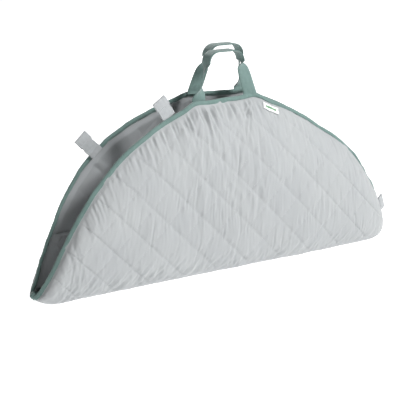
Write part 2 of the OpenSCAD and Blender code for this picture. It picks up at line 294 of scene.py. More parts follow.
def fabric(name, colour, shade, roughness=0.85, sheen=0.25, weave=(900, 900), weave_bump=0.06,
           grain=260, grain_bump=0.10, patch=9.0, ribs=0.0, specular=0.35, fibres=0.5):
    """Woven cloth: threads both ways, fibre grain, and a slow drift between two colours."""
    m = bpy.data.materials.new(name)
    m.use_nodes = True
    tree = m.node_tree
    nodes, link = tree.nodes, tree.links.new
    shader = nodes["Principled BSDF"]
    shader.inputs["Roughness"].default_value = roughness
    shader.inputs["Sheen Weight"].default_value = sheen
    shader.inputs["Sheen Roughness"].default_value = 0.5
    shader.inputs["Specular IOR Level"].default_value = specular
    uv = nodes.new("ShaderNodeUVMap")
    uv.uv_map = "cloth"

    def wave(direction, scale):
        w = nodes.new("ShaderNodeTexWave")
        w.wave_type, w.bands_direction, w.wave_profile = "BANDS", direction, "SIN"
        w.inputs["Scale"].default_value = scale / 20
        w.inputs["Distortion"].default_value = 0.6
        w.inputs["Detail"].default_value = 1
        w.inputs["Detail Scale"].default_value = 2
        link(uv.outputs["UV"], w.inputs["Vector"])
        return w.outputs["Fac"]

    def noise(scale, detail):
        n = nodes.new("ShaderNodeTexNoise")
        n.inputs["Scale"].default_value = scale
        n.inputs["Detail"].default_value = detail
        link(uv.outputs["UV"], n.inputs["Vector"])
        return n.outputs["Fac"]

    def maths(op, a, b):
        n = nodes.new("ShaderNodeMath")
        n.operation = op
        for k, v in enumerate((a, b)):
            if isinstance(v, (int, float)):
                n.inputs[k].default_value = v
            else:
                link(v, n.inputs[k])
        return n.outputs[0]

    threads = maths("MULTIPLY", wave("X", weave[0]), wave("Y", weave[1]))
    drift = noise(patch, 3)
    fibre = noise(grain * 3, 2)
    mixed = maths("ADD", maths("MULTIPLY", drift, 1 - 0.35 * fibres),
                  maths("MULTIPLY", fibre, 0.35 * fibres))
    ramp = nodes.new("ShaderNodeValToRGB")
    ramp.color_ramp.elements[0].position = 0.3
    ramp.color_ramp.elements[0].color = linear(shade)
    ramp.color_ramp.elements[1].position = 0.7
    ramp.color_ramp.elements[1].color = linear(colour)
    link(mixed, ramp.inputs["Fac"])
    link(ramp.outputs["Color"], shader.inputs["Base Color"])
    height = maths("ADD", maths("MULTIPLY", threads, weave_bump),
                   maths("MULTIPLY", noise(grain, 3), grain_bump))
    if ribs:
        height = maths("ADD", height, maths("MULTIPLY", wave("Y", 420), ribs))
    bump = nodes.new("ShaderNodeBump")
    bump.inputs["Strength"].default_value = 0.6
    bump.inputs["Distance"].default_value = 0.002
    link(height, bump.inputs["Height"])
    link(bump.outputs["Normal"], shader.inputs["Normal"])
    return m


cover_cloth = fabric("cover_cloth", (167, 170, 171), (161, 164, 166))
lining_cloth = fabric("lining_cloth", (166, 169, 171), (158, 162, 164), roughness=0.55, sheen=0.1,
                      weave_bump=0.03, grain_bump=0.04, specular=0.5)
binding_cloth = fabric("binding_cloth", (108, 133, 128), (97, 121, 117), roughness=0.8, sheen=0.3,
                       weave=(700, 700), weave_bump=0.12, grain=400, grain_bump=0.12, patch=30, ribs=0.10)
webbing_cloth = fabric("webbing_cloth", (108, 132, 128), (96, 119, 115), roughness=0.82, sheen=0.3,
                       weave=(600, 300), weave_bump=0.25, grain=300, grain_bump=0.1, patch=40, ribs=0.2)
tab_cloth = fabric("tab_cloth", (172, 175, 177), (158, 162, 164), roughness=0.8,
                   weave=(600, 300), weave_bump=0.2, grain=300, patch=40, ribs=0.15)
hook_cloth = fabric("hook_cloth", (112, 118, 121), (84, 90, 93), roughness=0.95, sheen=0.4,
                    weave=(1400, 1400), weave_bump=0.5, grain=900, grain_bump=0.6, patch=60)
label_cloth = fabric("label_cloth", (236, 238, 237), (226, 229, 227), roughness=0.5, sheen=0.1,
                     weave=(1500, 1500), weave_bump=0.05, grain_bump=0.05)
label_mark = fabric("label_mark", (96, 150, 104), (82, 134, 92), roughness=0.6,
                    weave=(1500, 1500), weave_bump=0.1, grain_bump=0.05)
pale_thread = fabric("pale_thread", (192, 194, 195), (175, 178, 180), roughness=0.6, sheen=0.1,
                     weave=(3000, 3000), patch=80)
teal_thread = fabric("teal_thread", (98, 123, 118), (84, 106, 102), roughness=0.6, sheen=0.1,
                     weave=(3000, 3000), patch=80)

# ---------------------------------------------------------------- padded cover

COLS, ROWS = 801, 121
GRID_END = math.radians(0.6)
ANGLES = np.linspace(GRID_END, math.pi - GRID_END, COLS)
XS = -HALF * np.cos(ANGLES)


def cloth_places(total):
    """Every grid point's measures in the flat cloth: along the fold, and up the column."""
    t = np.linspace(0, 1, ROWS)[None] * total[:, None]
    return XS[:, None] + 0 * t, t


def resample(points, rows):
    """Rows evenly spaced along each column's own length, and those lengths."""
    step = np.linalg.norm(np.diff(points, axis=1), axis=2)
    length = np.concatenate([np.zeros((len(points), 1)), np.cumsum(step, 1)], 1)
    total = length[:, -1]
    out = np.empty((len(points), rows, 3))
    for c in range(len(points)):
        want = np.linspace(0, total[c], rows)
        for k in range(3):
            out[c, :, k] = np.interp(want, length[c], points[c, :, k])
    return out, total


def cover_grid(side):
    """Points of the smooth cover, from under the fold up to the rim, and each column's length."""
    theta = np.linspace(0, math.pi, 500)
    c = np.abs(np.cos(theta))
    e = np.where(theta < math.pi / 2, 0.5 * (1 - c ** (2 / 2.9)), 0.5 + 0.5 * c)
    x = XS[:, None]
    z = keel_z(x) + wall_height(side, x) * e[None]
    y = wall_y(side, x, e[None])
    points = np.stack([np.broadcast_to(x, y.shape), side * y, z], -1)
    return resample(points, ROWS)


def lining_grid(side):
    """Points of the smooth lining, from the middle of the hollow's floor up to the rim."""
    x = XS[:, None]
    floor = keel_z(x) + (FLOOR_IN + 0.001) * np.clip(wall_height(side, x) / 0.07, 0, 1)
    e = np.linspace(0, 1, 300)[None]
    z = floor + (rim_z(side, x) - floor) * e
    wall = np.maximum(inner_y(side, x, z), LEAST_GAP)
    t = np.linspace(0, 1, 24)[None]
    base = np.stack(np.broadcast_arrays(x, side * wall[:, :1] * t, floor), -1)[:, :-1]
    up = np.stack([np.broadcast_to(x, wall.shape), side * wall, z], -1)
    points, total = resample(np.concatenate([base, up], 1), ROWS)
    soften(points, 14, axes=(1,))        # rounds the rise out of the hollow's floor
    return points, total


NEAR_STEPS = 700                     # places along the rim that nearest_rim looks at


def nearest_rim(side, points):
    """For every point: its place along the rim, how deep inside and how far across it lies, and
    the rim's point and directions there."""
    a = np.linspace(RIM_END, math.pi - RIM_END, NEAR_STEPS)
    p, t, v, b = rim_frame(side, a)
    outward = b * np.sign(b[:, 1:2]) * side
    flat = points.reshape(-1, 3)
    best = np.empty(len(flat), int)
    for k in range(0, len(flat), 8000):
        some = flat[k:k + 8000, None, :]
        rough = np.argmin(((some - p[None, ::10]) ** 2).sum(-1), 1) * 10
        window = np.clip(rough[:, None] + np.arange(-10, 11)[None], 0, NEAR_STEPS - 1)
        fine = np.argmin(((some - p[window]) ** 2).sum(-1), 1)
        best[k:k + 8000] = window[np.arange(len(window)), fine]
    best = np.clip(best, 1, NEAR_STEPS - 2)
    step = np.sum((flat - p[best]) * t[best], -1)[:, None]
    gap = np.linalg.norm(p[best + 1] - p[best], axis=1)[:, None]
    f = np.clip(step / gap, -1, 1)
    other = np.clip(best + np.sign(f[:, 0]).astype(int), 0, NEAR_STEPS - 1)
    mix = lambda q: q[best] * (1 - np.abs(f)) + q[other] * np.abs(f)
    base, inw, out = mix(p), unit(mix(v)), unit(mix(outward))
    d = flat - base
    shape = points.shape[:2]
    along = run_length(p)[best] + step[:, 0]
    return {"along": along.reshape(shape), "deep": np.sum(d * inw, -1).reshape(shape),
            "across": np.sum(d * out, -1).reshape(shape), "base": base.reshape(*shape, 3),
            "in": inw.reshape(*shape, 3), "out": out.reshape(*shape, 3)}


EDGE_OUT = 0.0016                    # how far a sheet's edge lies from the middle of the binding


def tuck(points, near, offset, start=0.0072, end=0.017):
    """Leads the edge of a sheet into the binding, offset to one side of its middle."""
    deep, across = near["deep"], near["across"]
    w = smooth(start, end, deep)
    hidden = offset * smooth(-0.001, 0.006, deep)
    wanted = hidden * (1 - w) + across * w
    inside = np.where(deep < end, 1.0, 0.0)[..., None]
    moved = (near["base"] + near["in"] * np.maximum(deep, 0.0008)[..., None]
             + near["out"] * wanted[..., None])
    return points * (1 - inside) + moved * inside


# the quilting's two families of lines, x + t = FALL_AT + k FALL_STEP and x - t = k RISE_STEP - RISE_AT
FALL_AT, FALL_STEP = 0.005, 0.078
RISE_AT, RISE_STEP = 0.469, 0.0745


def quilt_lines(x, t):
    """Distances to the two families of quilting lines, in the flat cloth's own measures."""
    a = (x + t - FALL_AT) / FALL_STEP
    b = (x - t + RISE_AT) / RISE_STEP
    return (np.abs(a - np.round(a)) * FALL_STEP / math.sqrt(2),
            np.abs(b - np.round(b)) * RISE_STEP / math.sqrt(2), a, b)


def folds(side, x, t, near):
    """Height of the cloth's creases above the smooth padded form, in metres."""
    r = np.maximum(near["deep"], 0)
    seed = 40 if side == FRONT else 80
    d1, d2, a, b = quilt_lines(x, t)
    inside = smooth(0.010, 0.030, r) * smooth(0.004, 0.03, t)
    # the quilting: one family of lines is drawn in more than the other
    puff = 0.7 * (1 - np.exp(-(d1 / 0.011) ** 1.3)) + 0.3 * (1 - np.exp(-(d2 / 0.009) ** 1.3))
    height = 0.0016 * (puff - 0.6) * inside
    seam = np.exp(-(d1 / 0.0015) ** 2) + 0.5 * np.exp(-(d2 / 0.0014) ** 2)
    height -= 0.0012 * seam * smooth(0.010, 0.016, r)
    pucker = np.exp(-(d1 / 0.007) ** 2) * lattice_noise(b * 11, d1 / 0.02, seed + 36)
    pucker += 0.7 * np.exp(-(d2 / 0.006) ** 2) * lattice_noise(a * 12, d2 / 0.02, seed + 37)
    height += 0.0007 * pucker * inside
    # fine upright creases all over, where the shell is longer than its wadding
    sway = 0.006 * lattice_noise(x / 0.05, t / 0.06, seed + 30) + 0.10 * (x - 0.05) * smooth(0.0, 0.35, t)
    u = x + sway
    streak = lattice_noise(u / 0.0060, t / 0.038, seed + 31)
    streak += 0.8 * lattice_noise(u / 0.0041 + 9, t / 0.024 + 5, seed + 32)
    crease = -np.maximum(lattice_noise(u / 0.0070 + 4, t / 0.040 + 8, seed + 33) - 0.45, 0) ** 0.8
    where = 0.55 + 0.45 * lattice_noise(x / 0.06, t / 0.07, seed + 34)
    middle = 0.55 + 0.45 * np.exp(-((x + 0.02) / 0.22) ** 2)
    seams = 1 - 0.35 * np.exp(-(d1 / 0.003) ** 2)
    height += (0.00110 * streak + 0.0046 * crease) * np.clip(where, 0.1, 1.2) * middle * seams * inside
    # gathers under the binding, drawn in by the elastic, hanging straight down
    left = (0.35 + 0.65 * smooth(0.10, -0.08, x)) * (0.45 + 0.55 * smooth(-0.34, -0.24, x))
    grip = sum(np.exp(-((x - handle_x(side, k)) / 0.045) ** 2) for k in (-1, 1))
    hang = x + 0.22 * t
    reach = 0.016 + 0.014 * (0.5 + lattice_noise(hang / 0.013, t * 0 + 3, seed + 8)) + 0.022 * grip
    gather = lattice_noise(hang / 0.0056, r / 0.04, seed + 9)
    gather += 0.6 * lattice_noise(hang / 0.0042, r / 0.03, seed + 10)
    fade = np.exp(-np.maximum(r - 0.014, 0) / np.maximum(reach, 0.010)) * smooth(0.0095, 0.020, r)
    height += 0.0036 * (gather + 0.20) * fade * np.clip(left + 0.3 * grip, 0, 1.2)
    # creases that fan down from the ends of the handles
    for k in (-1, 1):
        dx, dr = x - handle_x(side, k), np.maximum(r, 1e-4)
        dist = np.hypot(dx, dr)
        bearing = np.arctan2(dx, dr)
        fan = lattice_noise(bearing * 9 + 20, dist / 0.12, seed + 12 + k)
        fan += 0.6 * lattice_noise(bearing * 17 + 20, dist / 0.08, seed + 15 + k)
        strength = np.exp(-dist / 0.075) * smooth(0.012, 0.030, dist) * smooth(0.0095, 0.02, r)
        height += 0.0042 * fan * strength * np.exp(-(bearing / 0.9) ** 2)
    # long soft folds that hang down the panel, and broad unevenness of the filling
    drift = lattice_noise(x / 0.10, t / 0.09, seed + 20) * 0.03
    long_fold = 1 - 2 * np.abs(lattice_noise((x + 0.12 * t + drift) / 0.024, t / 0.16, seed + 21))
    height += 0.0009 * long_fold * inside * (0.5 + 0.5 * smooth(0.22, 0.0, x))
    height += 0.0020 * lattice_noise(x / 0.085, t / 0.075, seed + 22) * inside
    # short slanting puckers where the panel turns under the fold
    low = np.exp(-((t - 0.050) / 0.026) ** 2) * (0.45 + 0.55 * smooth(0.1, -0.25, x))
    slant = lattice_noise((x - 0.75 * t) / 0.0085, t / 0.04, seed + 25)
    slant += 0.5 * lattice_noise((x - 0.6 * t) / 0.0050, t / 0.03, seed + 26)
    height += 0.0030 * slant * low
    flat = smooth(0.012, 0.034, t)               # the cloth under the fold lies flat
    corner = 1 - 0.55 * smooth(0.33, 0.41, np.abs(x))
    return height * (0.08 + 0.92 * flat) * corner


SIM_STEP = 3                         # the simulated cloth has every third point each way
MOST_MOVE = 0.008
SIM_SHARE = 0.6                      # how much of the simulated move is used
FRAMES = 20


def crumple(points, side):
    """Cloth simulation of the cover: blown out a little over its quilting and slightly too long
    for its edges, so that it buckles. Returns each point's move in its own frame."""
    pick_c, pick_r = np.arange(0, COLS, SIM_STEP), np.arange(0, ROWS, SIM_STEP)
    coarse = points[pick_c][:, pick_r]
    n, m = coarse.shape[:2]
    mesh = bpy.data.meshes.new("sim")
    mesh.from_pydata(coarse.reshape(-1, 3).tolist(), [], grid_faces(n, m))
    mesh.update()
    obj = bpy.data.objects.new("sim", mesh)
    bpy.context.scene.collection.objects.link(obj)
    total = lengths[side]
    x, t = cloth_places(total)
    d1, d2, *_ = quilt_lines(x, t)
    seam = np.exp(-(np.minimum(d1, d2) / 0.006) ** 2)[pick_c][:, pick_r]
    r = (total[:, None] - t)[pick_c][:, pick_r]
    t = t[pick_c][:, pick_r]
    pin = np.maximum(0.35 * seam, np.maximum(smooth(0.02, 0.008, r), smooth(0.04, 0.015, t)))
    pin[0] = pin[-1] = 1
    group = obj.vertex_groups.new(name="pin")
    for i, w in enumerate(pin.ravel()):
        group.add([i], float(w), "REPLACE")
    obj.shape_key_add(name="Basis")
    long_key = obj.shape_key_add(name="long")
    grow = 1.05 + 0.05 * np.exp(-r / 0.06)
    middle = np.array([0.0, 0.0, 0.17])
    wide = middle + (coarse - middle) * np.stack([grow, np.ones_like(grow), 1.02 + 0 * grow], -1)
    long_key.data.foreach_set("co", wide.ravel().astype(np.float32))
    cloth = obj.modifiers.new("Cloth", "CLOTH")
    s = cloth.settings
    s.quality = 6
    s.mass = 0.25
    s.tension_stiffness = s.compression_stiffness = 12
    s.shear_stiffness = 6
    s.bending_stiffness = 0.4
    s.tension_damping = s.compression_damping = s.shear_damping = 8
    s.bending_damping = 1
    s.air_damping = 3
    s.vertex_group_mass = "pin"
    s.pin_stiffness = 1.5
    s.rest_shape_key = long_key
    s.use_pressure = True
    s.uniform_pressure_force = 4
    s.effector_weights.gravity = 0
    cloth.collision_settings.use_collision = False
    cloth.point_cache.frame_start, cloth.point_cache.frame_end = 1, FRAMES
    scene = bpy.context.scene
    for f in range(1, FRAMES + 1):
        scene.frame_set(f)
    done = obj.evaluated_get(bpy.context.evaluated_depsgraph_get())
    co = np.zeros(n * m * 3, np.float32)
    done.data.vertices.foreach_get("co", co)
    scene.frame_set(1)
    moved = co.reshape(n, m, 3).astype(float) - coarse
    bpy.data.objects.remove(obj)
    far = np.linalg.norm(moved, axis=2, keepdims=True)
    moved *= np.minimum(1, MOST_MOVE / np.maximum(far, 1e-9))
    u, v, w = grid_normals(coarse)
    parts = np.stack([np.sum(moved * k, -1) for k in (u, v, w)], -1)
    cc, rr = np.meshgrid(np.arange(COLS) / SIM_STEP, np.arange(ROWS) / SIM_STEP, indexing="ij")
    return sample(parts, cc, rr)


smooth_form, lengths = {}, {}
for side in (FRONT, BACK):
    smooth_form[side], lengths[side] = cover_grid(side)
blown = crumple(smooth_form[FRONT], FRONT)
GRID = {}


def build_cover(side):
    """One half's cover, creased, blown out by the simulation and tucked into the binding."""
    p, total = smooth_form[side], lengths[side]
    x, t = cloth_places(total)
    u, v, w = grid_normals(p)
    out = w if side == FRONT else -w
    near = nearest_rim(side, p)
    h = folds(side, x, t, near)
    q = p + out * h[..., None]
    if blown is not None:
        part = blown if side == FRONT else blown[::-1] * np.array([-1, 1, 1])
        ease = (smooth(0.010, 0.03, total[:, None] - t) * smooth(0.012, 0.04, t))[..., None]
        q = q + SIM_SHARE * ease * (part[..., :1] * u + part[..., 1:2] * v + part[..., 2:] * out)
    q = tuck(q, nearest_rim(side, q), EDGE_OUT)
    q[..., 2] = np.maximum(q[..., 2], BASE_UP)
    # no crease crosses the middle plane
    q[..., 1] = np.where(side * q[..., 1] < 0, 0, q[..., 1])
    GRID[side] = q
    uv = np.stack([x, t], -1)
    return new_mesh(SIDE_NAME[side] + "_quilted_panel", q, grid_faces(COLS, ROWS, flip=side == BACK),
                    cover_cloth, uv)


def bend(obj):
    """Bakes a piece's placement into its mesh."""
    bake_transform(obj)


def cloth_length(side, x):
    """The cover's length from the middle of the fold up to the rim."""
    return np.interp(rim_angle(x), ANGLES, lengths[side])


def surface(side, x, t):
    """Point and outward normal of the finished cover at cloth coordinates x, t."""
    u = (rim_angle(x) - ANGLES[0]) / (ANGLES[-1] - ANGLES[0]) * (COLS - 1)
    total = np.interp(u, np.arange(COLS), lengths[side])
    v = t / total * (ROWS - 1)
    g = GRID[side]
    return sample(g, u, v), sample(NORMAL[side], u, v)


NORMAL = {}
for side in (FRONT, BACK):
    name = SIDE_NAME[side]
    cover = build_cover(side)
    w = grid_normals(GRID[side])[2]
    NORMAL[side] = w if side == FRONT else -w
    bend(cover)
    stood = [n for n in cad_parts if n.startswith((name + "_cover", name + "_padding"))]
    if side == FRONT:
        stood += ["fold_cover", "fold_padding"]
    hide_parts(*stood)

# ---------------------------------------------------------------- lining

LEDGE_X, LEDGE_Z = -0.30, 0.116        # the end of the layers under the lining, low in the left end

for side in (FRONT, BACK):
    name = SIDE_NAME[side]
    p, total = lining_grid(side)
    x, t = cloth_places(total)
    seed = 140 if side == FRONT else 180
    near = nearest_rim(side, p)
    r, s = np.maximum(near["deep"], 0), near["along"]
    d1, d2, *_ = quilt_lines(x, t + 0.02)
    puff = (1 - np.exp(-(d1 / 0.014) ** 1.3)) * (1 - np.exp(-(d2 / 0.014) ** 1.3))
    h = 0.0012 * puff - 0.0004 * np.exp(-(np.minimum(d1, d2) / 0.002) ** 2)
    warp = lattice_noise(s / 0.05, r / 0.05, seed) * 0.012
    h = h + 0.0020 * lattice_noise((s + warp) / 0.011, r / 0.10, seed + 1) * np.exp(-r / 0.030)
    h = h + 0.0016 * lattice_noise(x / 0.06, t / 0.07, seed + 2)
    h = h * smooth(0.009, 0.03, r) * smooth(0.0, 0.03, t) * smooth(0.0, 0.12, total)[:, None]
    if side == BACK:
        z = p[..., 2]
        left_end = smooth(LEDGE_X + 0.05, LEDGE_X - 0.01, x) * smooth(0.010, 0.022, r)
        wrinkle = lattice_noise(x / 0.012, z / 0.009, seed + 5)
        h = h + left_end * smooth(LEDGE_Z + 0.0015, LEDGE_Z - 0.0015, z) * (0.0034 + 0.0010 * wrinkle)
        h = h - 0.0032 * left_end * np.exp(-((z - LEDGE_Z - 0.003) / 0.002) ** 2)
    w = grid_normals(p)[2]
    inward = -w if side == FRONT else w
    q = p + inward * h[..., None]
    q = tuck(q, nearest_rim(side, q), -EDGE_OUT, end=0.022)
    q[..., 1] = np.where(side * q[..., 1] < 0, 0, q[..., 1])
    obj = new_mesh(name + "_inner_lining", q, grid_faces(COLS, ROWS, flip=side == FRONT),
                   lining_cloth, np.stack([x, t], -1))
    bend(obj)
    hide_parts(name + "_lining", *(["fold_lining"] if side == FRONT else []))

# ---------------------------------------------------------------- binding

OUTLINE = [(0.0, 0.0), (0.0005, 0.0018), (0.0017, 0.0031), (0.0038, 0.0035), (0.0058, 0.0034),
           (0.0070, 0.0029), (0.0075, 0.0026), (0.0082, 0.0029), (0.0092, 0.0026), (0.0092, 0.0010)]
OUTLINE = OUTLINE + [(a, -b) for a, b in OUTLINE[:0:-1]]
girth = run_length(np.array(OUTLINE))
SEWN_AT = 6                          # the point of the outline that the stitches run along
BIND_STEPS = 760
JOIN_X = -0.018                      # where the tape's end laps over its start


def binding_rings(side):
    """Rings of the tape round one half's rim, their places along it, and the directions across."""
    p, _, v, b = rim_frame(side, np.linspace(RIM_END, math.pi - RIM_END, BIND_STEPS))
    s = run_length(p)
    seed = 300 if side == FRONT else 340
    swing = 0.0011 * lattice_noise(s / 0.030, s * 0, seed)
    swing += 0.0006 * lattice_noise(s / 0.012, s * 0, seed + 1)
    lift = 0.0009 * lattice_noise(s / 0.025, s * 0 + 5, seed + 2)
    ends = smooth(0, 0.03, s) * smooth(s[-1], s[-1] - 0.03, s)
    p = p + b * (swing * ends)[:, None] + v * (lift * ends)[:, None]
    if side == FRONT:
        past = p[:, 0] - JOIN_X
        lap = 1 + 0.22 * smooth(-0.0003, 0.0003, past) * smooth(0.016, 0.004, past)
    else:
        lap = 1 + 0 * s
    rings = []
    for inw, across in OUTLINE:
        pucker = (1 + 0.09 * lattice_noise(s / 0.0075, s * 0 + inw * 300, seed + 3)
                  + 0.05 * lattice_noise(s / 0.0040, s * 0 + 9, seed + 4))
        rings.append(p + v * (inw * lap)[:, None] + b * (across * pucker * lap)[:, None])
    return np.stack(rings, 1), s, b


# stitches: length, gap, width and height
RIM_STITCH = (0.0026, 0.0014, 0.0008, 0.0005)
QUILT_STITCH = (0.0030, 0.0014, 0.0006, 0.00035)
TAB_STITCH = (0.0024, 0.0012, 0.0007, 0.0004)
LABEL_STITCH = (0.0016, 0.0008, 0.0005, 0.0003)


def stitches(name, points, normals, sizes, material):
    """Thread stitches: slim raised lozenges spaced along a line on a surface."""
    length, gap, width, height = sizes
    verts, faces, uv = [], [], []
    for line, norm in zip(points, normals):
        if len(line) < 3:
            continue
        d = run_length(line)
        starts = np.arange(gap, d[-1] - length, length + gap)
        middles = starts + length / 2
        at = lambda q, src: np.stack([np.interp(q, d, src[:, k]) for k in range(3)], -1)
        a, m, b = at(starts, line), at(middles, line), at(starts + length, line)
        n = unit(at(middles, norm))
        side_way = unit(np.cross(b - a, n))
        for i in range(len(starts)):
            k = len(verts)
            verts += [a[i] - n[i] * height * 0.4, b[i] - n[i] * height * 0.4,
                      m[i] + side_way[i] * width / 2 - n[i] * height * 0.2,
                      m[i] - side_way[i] * width / 2 - n[i] * height * 0.2,
                      m[i] + n[i] * height, m[i] - n[i] * height * 0.8]
            faces += [(k, k + 2, k + 4), (k + 2, k + 1, k + 4), (k + 1, k + 3, k + 4), (k + 3, k, k + 4),
                      (k + 2, k, k + 5), (k + 1, k + 2, k + 5), (k + 3, k + 1, k + 5), (k, k + 3, k + 5)]
            uv += [(starts[i], 0), (starts[i] + length, 0), (middles[i], width),
                   (middles[i], -width), (middles[i], 0), (middles[i], 0)]
    return new_mesh(name, verts, faces, material, uv)


for side in (FRONT, BACK):
    name = SIDE_NAME[side]
    rings, s, b = binding_rings(side)
    uv = np.stack(np.broadcast_arrays(s[:, None], girth[None]), -1)
    obj = new_mesh(name + "_rim_binding", rings, tube_faces(BIND_STEPS, len(OUTLINE)), binding_cloth, uv)
    bend(obj)
    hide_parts(*[name + n for n in ("_binding", "_rim_elastic", "_handle_ends", "_tab_end")])
    if side == BACK:
        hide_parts("right_tab_end")
    rows = [rings[:, i] for i in (SEWN_AT, -SEWN_AT)]
    thread = stitches(name + "_binding_stitches", rows, [b, -b], RIM_STITCH, teal_thread)
    bend(thread)

CORNER_TURN = 0.7                    # the turn at a corner is flatter than a half circle
CORNER_LEAN = (0.62, 0.78)           # the tape's open side there faces outward and down
TUCK_SIZE, TUCK_IN, TUCK_UP = (0.0095, 0.0088, 0.0052), 0.0062, 0.0005

for end, name in ((-1, "left"), (1, "right")):
    turn = np.linspace(0, math.pi, 19)
    start = rim_point(FRONT, RIM_END if end < 0 else math.pi - RIM_END)
    r = abs(start[1])
    centre = np.array([start[0], 0, start[2]])
    rings = []
    for a in turn:
        out = np.array([end * math.sin(a) * CORNER_TURN, -math.cos(a), 0])
        tangent = unit(np.array([end * math.cos(a) * CORNER_TURN, math.sin(a), 0]))
        down = np.array([-end * CORNER_LEAN[0], 0.0, -CORNER_LEAN[1]])
        down = unit(down - down @ tangent * tangent)
        across = np.cross(tangent, down)
        rings.append([centre + out * r + down * q[0] * 0.95 + across * q[1] for q in OUTLINE])
    rings = np.array(rings)
    uv = np.stack(np.broadcast_arrays(turn[:, None] * r, girth[None]), -1)
    obj = new_mesh(name + "_corner_binding", rings, tube_faces(len(turn), len(OUTLINE)), binding_cloth, uv)
    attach(obj, "fold")
    if end < 0:
        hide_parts("corner_bindings")
    # the cloth tucked in under the turn, which closes the end of the fold
    lat, lon = np.meshgrid(np.linspace(0.12, math.pi - 0.12, 13), np.linspace(0, 2 * math.pi, 25)[:-1],
                           indexing="ij")
    ball = np.stack([np.sin(lat) * np.cos(lon), np.sin(lat) * np.sin(lon), np.cos(lat)], -1)
    crush = 1 + 0.08 * lattice_noise(lon * 3, lat * 2, 500)
    middle = np.array([end * (HALF - TUCK_IN), 0, CORNER_Z + TUCK_UP])
    lump = middle + ball * crush[..., None] * np.array(TUCK_SIZE)
    uv = np.stack([lon, lat], -1) * 0.006
    tucked = new_mesh(name + "_corner_tuck", lump, tube_faces(*lat.shape), binding_cloth, uv)
    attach(tucked, "fold")

# ---------------------------------------------------------------- quilting thread

THREAD_FROM, THREAD_TO = 0.016, 0.013   # the thread's distances from the fold and from the rim

for side in (FRONT, BACK):
    lines, norms = [], []
    for family in (1, -1):
        for k in range(-14, 15):
            x = np.linspace(-HALF, HALF, 1400)
            t = (FALL_AT + FALL_STEP * k - x) if family == 1 else (x + RISE_AT - RISE_STEP * k)
            keep = (t > THREAD_FROM) & (t < cloth_length(side, x) - THREAD_TO)
            keep &= np.abs(x) < HALF * 0.99
            if keep.sum() < 12:
                continue
            q, n = surface(side, x[keep], t[keep])
            lines.append(q)
            norms.append(n)
    thread = stitches(SIDE_NAME[side] + "_quilting_stitches", lines, norms, QUILT_STITCH, pale_thread)
    bend(thread)

# ---------------------------------------------------------------- handles

RISE, TOP_BEND, TOP_Y = 0.088, 0.022, 0.017
SEWN_UP, SEWN_IN = 0.0026, 0.0070    # a leg starts this far above the rim, and goes in this deep
LEAN = {(FRONT, -1): 0.020, (FRONT, 1): 0.020, (BACK, -1): 0.025, (BACK, 1): 0.003}
WEB_W, WEB_T = 0.030, 0.0020
SECTION = [(-0.5, -0.25), (-0.47, -0.5), (-0.25, -0.52), (0, -0.5), (0.25, -0.52), (0.47, -0.5), (0.5, -0.25)]
SECTION += [(-a, -b) for a, b in SECTION]
TWIST = {(FRONT, -1): ((0, 0), (0.10, 10), (0.27, 56), (0.75, 58), (0.88, 72), (1, 90)),
         (FRONT, 1): ((0, -4), (0.3, 0), (0.6, 5), (0.8, 14), (0.93, 52), (1, 90)),
         (BACK, -1): ((0, -6), (0.3, -6), (0.6, 0), (0.76, 16), (0.88, 52), (1, 90)),
         (BACK, 1): ((0, 12), (0.12, 46), (0.22, 58), (0.75, 58), (0.88, 72), (1, 90))}


def handle_half(side, end, steps=46):
    """Rings of one half of a loop, from inside the binding to the middle of the top."""
    legs = HANDLE_SHIFT[side] + np.array([-0.5, 0.5]) * HANDLE_SPAN[side]
    base_z = float(rim_z(side, legs).max()) + SEWN_UP
    base_y = float(side * rim_gap(np.array(0.0)))
    reach, leg = HANDLE_SPAN[side] / 2, RISE - TOP_BEND
    lean = LEAN[side, end]
    corner = reach - lean
    line = [(reach, -SEWN_IN, 0.0, 0.0)] + [
        (reach - lean * k / steps, leg * k / steps, 0.0, k / steps) for k in range(steps + 1)]
    line += [(corner - TOP_BEND * (1 - math.cos(a)), leg + TOP_BEND * math.sin(a), a, 1.0)
             for a in np.linspace(0, math.pi / 2, 15)[1:]]
    line += [(d, RISE, math.pi / 2, 1.0) for d in np.linspace(corner - TOP_BEND, 0, 8)[1:]]
    keys = np.array(TWIST[side, end])
    fine = np.linspace(0, 1, 101)
    twist = np.interp(fine, keys[:, 0], keys[:, 1])
    soften(twist, 60, axes=(0,))
    rings = []
    for away, up, slope, t in line:
        h = max(up, 0) / RISE
        centre = np.array([HANDLE_SHIFT[side] + end * away, base_y * (1 - h) + side * TOP_Y * h,
                           base_z + up])
        tw = math.radians(np.interp(t, fine, twist))
        flat = np.array([end * math.cos(slope), 0, math.sin(slope)])
        wide = unit(math.cos(tw) * flat * end + np.array([0, math.sin(tw), 0]))
        along = np.array([-end * math.sin(slope), 0, math.cos(slope)])
        thick = np.cross(along, wide)
        rings.append([centre + wide * a * WEB_W + thick * b * WEB_T for a, b in SECTION])
    return np.array(rings)


for side in (FRONT, BACK):
    name = SIDE_NAME[side]
    right, left = handle_half(side, 1), handle_half(side, -1)
    # the left half is walked back down, and its section turned to match the right half's at the top
    k = len(SECTION)
    down = left[::-1][1:]
    target = right[-1]
    best = min(((turn, flip) for turn in range(k) for flip in (False, True)),
               key=lambda o: np.abs(np.roll(left[-1][::-1] if o[1] else left[-1], o[0], 0) - target).sum())
    down = np.array([np.roll(q[::-1] if best[1] else q, best[0], 0) for q in down])
    rings = np.concatenate([right, down])
    s = run_length(rings.mean(1))
    width_at = np.array([q[0] * WEB_W for q in SECTION])
    uv = np.stack(np.broadcast_arrays(width_at[None], s[:, None]), -1)
    faces = tube_faces(len(rings), k, flip=False, flip_caps=True)
    obj = new_mesh(name + "_handle_strap", rings, faces, webbing_cloth, uv)
    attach(obj, name + "_handle")
    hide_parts(name + "_handle")

# ---------------------------------------------------------------- closing tabs

